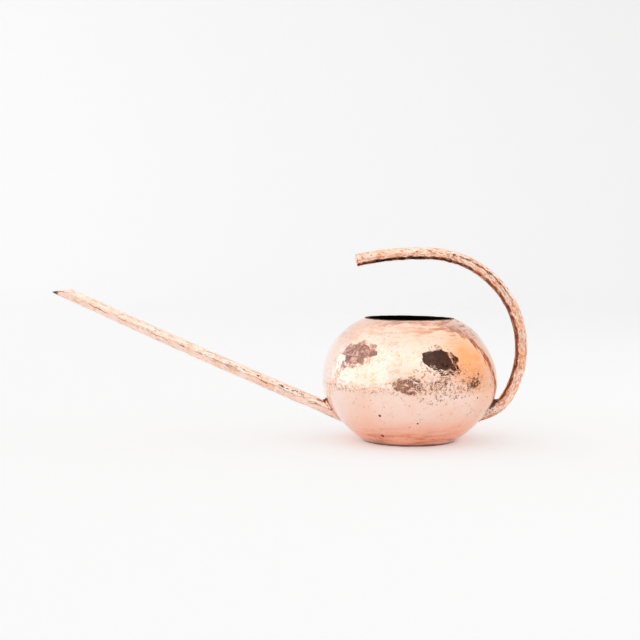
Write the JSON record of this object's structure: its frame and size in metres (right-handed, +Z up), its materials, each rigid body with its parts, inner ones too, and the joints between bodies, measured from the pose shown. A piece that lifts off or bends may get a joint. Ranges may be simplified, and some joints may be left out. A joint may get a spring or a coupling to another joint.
{
  "type": "watering can",
  "caption": "Hammered copper watering can for house plants: squat round body with an open mouth, long straight spout and an open curved tube handle.",
  "frame": {"origin": "centre of the flat base, on the surface that the can stands on", "axes": "+Z up along the body's axis, the spout runs towards -X and the handle stands at +X"},
  "size_m": [0.4474, 0.165, 0.1819],
  "materials": {
    "copper": "hammered and polished copper",
    "solder": "satin soft solder"
  },
  "bodies": {
    "root": {"lower_bowl": "copper", "upper_bowl": "copper", "base_disc": "copper", "spout_tube": "copper", "handle_tube": "copper", "handle_end_cap": "copper", "belly_solder": "solder", "base_solder": "solder", "spout_solder": "solder", "handle_solder": "solder", "handle_cap_solder": "solder"}
  },
  "joints": []
}
